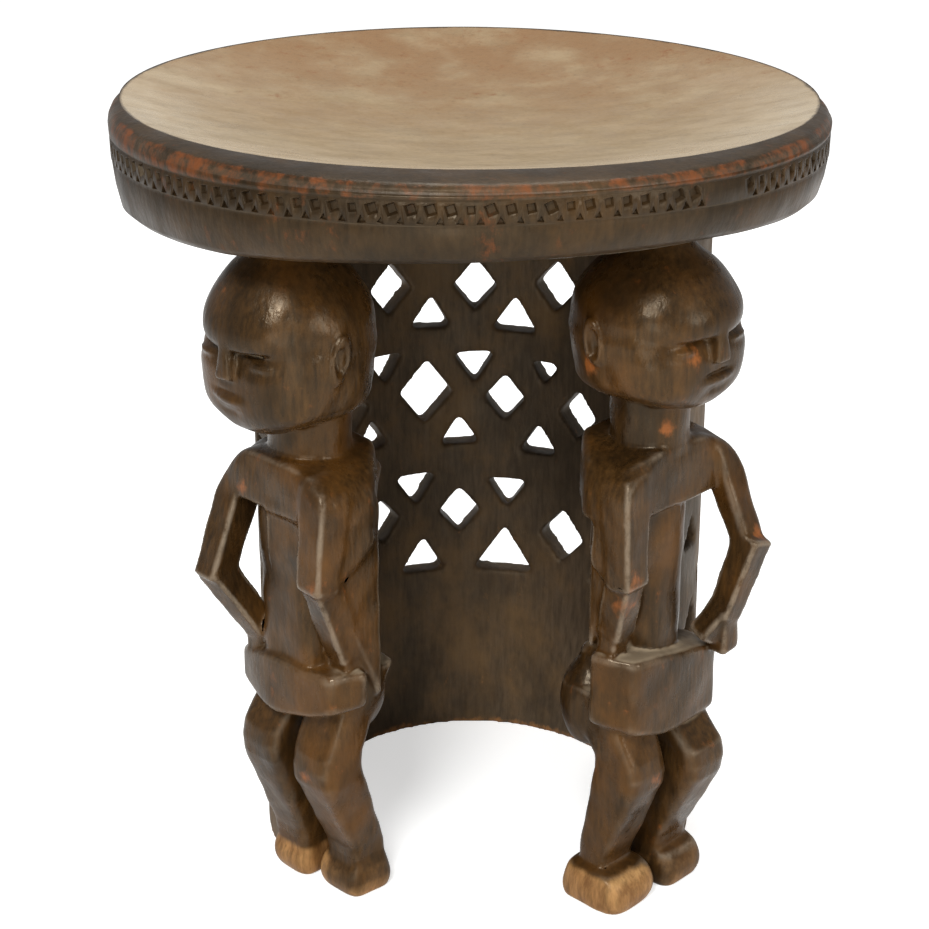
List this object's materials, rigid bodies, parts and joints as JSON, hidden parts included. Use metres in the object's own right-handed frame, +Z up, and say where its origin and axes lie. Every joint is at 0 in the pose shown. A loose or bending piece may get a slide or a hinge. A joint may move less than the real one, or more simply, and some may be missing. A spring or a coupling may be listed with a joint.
{
  "type": "carved wooden stool",
  "caption": "Carved wooden stool: a round dished seat on a pierced curved wall that ends in two standing caryatid figures.",
  "frame": {"origin": "on the floor, below the middle of the round seat", "axes": "+Z up; -Y out through the open front between the two figures; +X to the right seen from the front"},
  "size_m": [0.35, 0.35, 0.4],
  "materials": {
    "dish_wood": "hand-carved hardwood, worn and polished by use",
    "drum_wood": "hand-carved hardwood, dark aged patina",
    "figure_wood": "hand-carved hardwood, dark satin patina",
    "foot_wood": "hand-carved hardwood, worn pale at the floor"
  },
  "bodies": {
    "root": {"seat": "dish_wood", "wall_collar": "drum_wood", "lattice_screen": "drum_wood", "wall_plinth": "drum_wood", "left_head": "figure_wood", "left_neck": "figure_wood", "left_torso": "figure_wood", "left_loincloth": "figure_wood", "left_front_upper_arm": "figure_wood", "left_front_forearm": "figure_wood", "left_front_leg": "figure_wood", "left_front_foot": "foot_wood", "left_side_upper_arm": "figure_wood", "left_side_forearm": "figure_wood", "left_side_leg": "figure_wood", "left_side_foot": "foot_wood", "right_head": "figure_wood", "right_neck": "figure_wood", "right_torso": "figure_wood", "right_loincloth": "figure_wood", "right_front_upper_arm": "figure_wood", "right_front_forearm": "figure_wood", "right_front_leg": "figure_wood", "right_front_foot": "foot_wood", "right_side_upper_arm": "figure_wood", "right_side_forearm": "figure_wood", "right_side_leg": "figure_wood", "right_side_foot": "foot_wood"}
  },
  "joints": []
}
